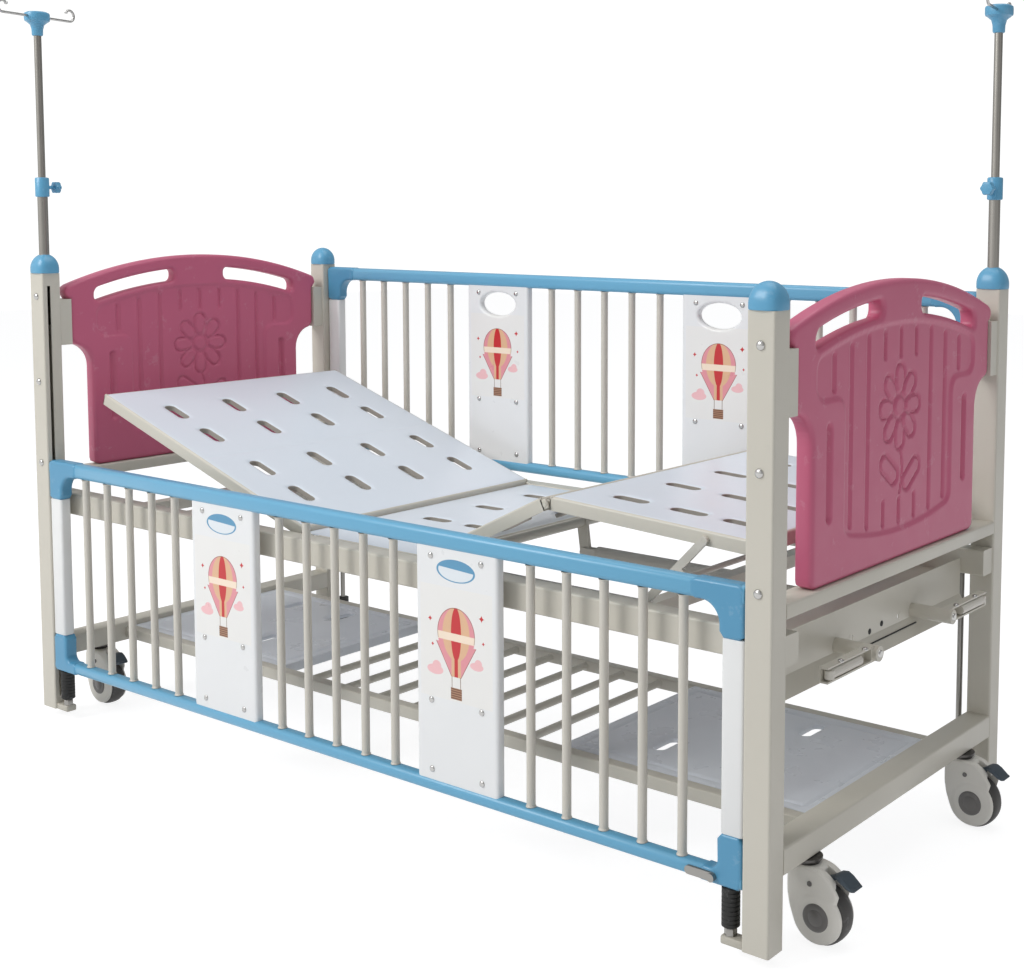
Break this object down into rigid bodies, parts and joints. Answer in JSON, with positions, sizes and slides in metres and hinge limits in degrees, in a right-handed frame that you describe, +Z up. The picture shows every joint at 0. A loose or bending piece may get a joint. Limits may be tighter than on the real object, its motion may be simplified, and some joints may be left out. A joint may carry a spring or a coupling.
{
  "type": "pediatric hospital cot",
  "caption": "Pediatric hospital cot with sliding side rails, cranked sectional lying surface, moulded end boards, lower shelf, telescopic IV poles and braked casters.",
  "frame": {"origin": "on the floor, at the centre of the overall bounding box", "axes": "+Z up, +X towards the foot end with the cranks, -Y the front side rail"},
  "size_m": [2.0738, 1.0282, 1.624],
  "materials": {
    "beige": "beige epoxy powder coat, satin",
    "black": "black rubber",
    "blue": "sky blue powder coat, satin",
    "caster": "warm grey moulded nylon",
    "chrome": "bright chrome plate",
    "deck": "pale grey powder coat, satin",
    "grip": "black moulded grip",
    "pedal": "blue-grey moulded pedal",
    "pink": "pink moulded board, satin",
    "steel": "zinc plated steel, dull",
    "tray": "grey powder coat, satin",
    "tyre": "dark grey rubber tread",
    "white": "white moulded panel, satin"
  },
  "bodies": {
    "frame": {"post_head_front": "beige", "post_head_rear": "beige", "post_foot_front": "beige", "post_foot_rear": "beige", "post_caps": "beige", "head_low_crossbar": "beige", "head_top_crossbar": "beige", "foot_low_crossbar": "beige", "foot_top_crossbar": "beige", "front_side_beam": "beige", "rear_side_beam": "beige", "deck_cross_tubes": "beige", "crank_fascia": "beige", "headboard": "pink", "footboard": "pink", "shelf_rails": "beige", "shelf_bars": "beige", "head_shelf_tray": "tray", "foot_shelf_tray": "tray", "guide_rods": "chrome", "guide_buffers": "black", "head_iv_socket": "chrome", "foot_iv_socket": "chrome", "seat_section": "deck"},
    "front_rail": {"front_rail_tubes": "blue", "front_rail_bars": "beige", "front_head_panel": "white", "front_foot_panel": "white"},
    "front_latch": {"front_rail_latch": "chrome"},
    "rear_rail": {"rear_rail_tubes": "blue", "rear_rail_bars": "beige", "rear_head_panel": "white", "rear_foot_panel": "white"},
    "rear_latch": {"rear_rail_latch": "chrome"},
    "back": {"back_section": "deck"},
    "back_drive": {"back_push_tube": "steel"},
    "thigh": {"thigh_section": "deck"},
    "thigh_drive": {"thigh_push_tube": "steel"},
    "leg": {"leg_section": "deck"},
    "prop": {"leg_prop": "steel"},
    "back_handle": {"back_crank": "beige"},
    "back_grip": {"back_crank_grip": "grip"},
    "thigh_handle": {"thigh_crank": "beige"},
    "thigh_grip": {"thigh_crank_grip": "grip"},
    "caster_head_front": {"caster_fork_head_front": "caster"},
    "wheel_head_front": {"caster_wheel_head_front": "tyre"},
    "pedal_head_front": {"brake_pedal_head_front": "pedal"},
    "caster_head_rear": {"caster_fork_head_rear": "caster"},
    "wheel_head_rear": {"caster_wheel_head_rear": "tyre"},
    "pedal_head_rear": {"brake_pedal_head_rear": "pedal"},
    "caster_foot_front": {"caster_fork_foot_front": "caster"},
    "wheel_foot_front": {"caster_wheel_foot_front": "tyre"},
    "pedal_foot_front": {"brake_pedal_foot_front": "pedal"},
    "caster_foot_rear": {"caster_fork_foot_rear": "caster"},
    "wheel_foot_rear": {"caster_wheel_foot_rear": "tyre"},
    "pedal_foot_rear": {"brake_pedal_foot_rear": "pedal"},
    "head_pole": {"head_iv_pole": "chrome"},
    "head_knob": {"head_iv_knob": "blue"},
    "foot_pole": {"foot_iv_pole": "chrome"},
    "foot_knob": {"foot_iv_knob": "blue"}
  },
  "joints": [
    {"name": "front_rail_slide", "type": "slide", "parent": "frame", "child": "front_rail", "axis": [0, 0, 1], "range_m": [0, 0.415]},
    {"name": "rear_rail_slide", "type": "slide", "parent": "frame", "child": "rear_rail", "axis": [0, 0, 1], "range_m": [-0.415, 0]},
    {"name": "front_latch_press", "type": "hinge", "parent": "front_rail", "child": "front_latch", "pos_m": [0.80463, -0.429, 0.128], "axis": [0, 1, 0], "range_deg": [0, 25], "stiffness_Nm_per_rad": 0.1, "springref_deg": -17.19},
    {"name": "rear_latch_press", "type": "hinge", "parent": "rear_rail", "child": "rear_latch", "pos_m": [0.80463, 0.429, 0.543], "axis": [0, 1, 0], "range_deg": [0, 25], "stiffness_Nm_per_rad": 0.1, "springref_deg": -17.19},
    {"name": "back_hinge", "type": "hinge", "parent": "frame", "child": "back", "pos_m": [-0.18037, 0, 0.505], "axis": [0, 1, 0], "range_deg": [-18, 50]},
    {"name": "back_drive_pin", "type": "hinge", "parent": "back", "child": "back_drive", "pos_m": [-0.16108, -0.14, 0.43771], "axis": [0, 1, 0], "range_deg": [-50, 18]},
    {"name": "thigh_hinge", "type": "hinge", "parent": "frame", "child": "thigh", "pos_m": [0.12063, 0, 0.505], "axis": [0, -1, 0], "range_deg": [-26, 6]},
    {"name": "thigh_drive_pin", "type": "hinge", "parent": "thigh", "child": "thigh_drive", "pos_m": [0.12967, 0.14, 0.44063], "axis": [0, -1, 0], "range_deg": [-6, 26]},
    {"name": "knee_hinge", "type": "hinge", "parent": "thigh", "child": "leg", "pos_m": [0.42712, 0, 0.65448], "axis": [0, -1, 0], "range_deg": [-6.89, 29.2]},
    {"name": "prop_hinge", "type": "hinge", "parent": "leg", "child": "prop", "pos_m": [0.76665, 0, 0.63669], "axis": [0, -1, 0], "range_deg": [-48.6, 11.37]},
    {"name": "back_crank_spin", "type": "hinge", "parent": "frame", "child": "back_handle", "pos_m": [0.96163, -0.14, 0.441], "axis": [1, 0, 0], "range_deg": [-720, 2000]},
    {"name": "back_grip_fold", "type": "hinge", "parent": "back_handle", "child": "back_grip", "pos_m": [0.97363, -0.286, 0.441], "axis": [0, 0, -1], "range_deg": [0, 90]},
    {"name": "thigh_crank_spin", "type": "hinge", "parent": "frame", "child": "thigh_handle", "pos_m": [0.96163, 0.14, 0.441], "axis": [1, 0, 0], "range_deg": [-1040, 240]},
    {"name": "thigh_grip_fold", "type": "hinge", "parent": "thigh_handle", "child": "thigh_grip", "pos_m": [0.97363, 0.286, 0.441], "axis": [0, 0, 1], "range_deg": [0, 90]},
    {"name": "caster_swivel_head_front", "type": "hinge", "parent": "frame", "child": "caster_head_front", "pos_m": [-1.01437, -0.288, 0.13], "axis": [0, 0, 1], "continuous": true},
    {"name": "wheel_spin_head_front", "type": "hinge", "parent": "caster_head_front", "child": "wheel_head_front", "pos_m": [-0.98437, -0.288, 0.05], "axis": [0, 1, 0], "continuous": true},
    {"name": "brake_head_front", "type": "hinge", "parent": "caster_head_front", "child": "pedal_head_front", "pos_m": [-0.97037, -0.288, 0.11], "axis": [0, 1, 0], "range_deg": [0, 5]},
    {"name": "caster_swivel_head_rear", "type": "hinge", "parent": "frame", "child": "caster_head_rear", "pos_m": [-1.01437, 0.288, 0.13], "axis": [0, 0, 1], "continuous": true},
    {"name": "wheel_spin_head_rear", "type": "hinge", "parent": "caster_head_rear", "child": "wheel_head_rear", "pos_m": [-0.98437, 0.288, 0.05], "axis": [0, 1, 0], "continuous": true},
    {"name": "brake_head_rear", "type": "hinge", "parent": "caster_head_rear", "child": "pedal_head_rear", "pos_m": [-0.97037, 0.288, 0.11], "axis": [0, 1, 0], "range_deg": [0, 5]},
    {"name": "caster_swivel_foot_front", "type": "hinge", "parent": "frame", "child": "caster_foot_front", "pos_m": [0.93963, -0.288, 0.13], "axis": [0, 0, 1], "continuous": true},
    {"name": "wheel_spin_foot_front", "type": "hinge", "parent": "caster_foot_front", "child": "wheel_foot_front", "pos_m": [0.96963, -0.288, 0.05], "axis": [0, 1, 0], "continuous": true},
    {"name": "brake_foot_front", "type": "hinge", "parent": "caster_foot_front", "child": "pedal_foot_front", "pos_m": [0.98363, -0.288, 0.11], "axis": [0, 1, 0], "range_deg": [0, 5]},
    {"name": "caster_swivel_foot_rear", "type": "hinge", "parent": "frame", "child": "caster_foot_rear", "pos_m": [0.93963, 0.288, 0.13], "axis": [0, 0, 1], "continuous": true},
    {"name": "wheel_spin_foot_rear", "type": "hinge", "parent": "caster_foot_rear", "child": "wheel_foot_rear", "pos_m": [0.96963, 0.288, 0.05], "axis": [0, 1, 0], "continuous": true},
    {"name": "brake_foot_rear", "type": "hinge", "parent": "caster_foot_rear", "child": "pedal_foot_rear", "pos_m": [0.98363, 0.288, 0.11], "axis": [0, 1, 0], "range_deg": [0, 5]},
    {"name": "head_pole_slide", "type": "slide", "parent": "frame", "child": "head_pole", "axis": [0, 0, 1], "range_m": [-0.04, 0.25]},
    {"name": "head_knob_turn", "type": "hinge", "parent": "frame", "child": "head_knob", "pos_m": [-1.00337, -0.371, 1.215], "axis": [0, 1, 0], "range_deg": [-180, 180]},
    {"name": "foot_pole_slide", "type": "slide", "parent": "frame", "child": "foot_pole", "axis": [0, 0, 1], "range_m": [0, 0.29]},
    {"name": "foot_knob_turn", "type": "hinge", "parent": "frame", "child": "foot_knob", "pos_m": [0.92863, 0.371, 1.215], "axis": [0, -1, 0], "range_deg": [-180, 180]}
  ],
  "couplings": [
    {"joint": "back_drive_pin", "follows": "back_hinge", "ratio": -1},
    {"joint": "back_crank_spin", "follows": "back_hinge", "ratio": 40},
    {"joint": "thigh_drive_pin", "follows": "thigh_hinge", "ratio": -1},
    {"joint": "knee_hinge", "follows": "thigh_hinge", "ratio": -1.1154},
    {"joint": "prop_hinge", "follows": "thigh_hinge", "ratio": 1.8615},
    {"joint": "thigh_crank_spin", "follows": "thigh_hinge", "ratio": 40}
  ]
}
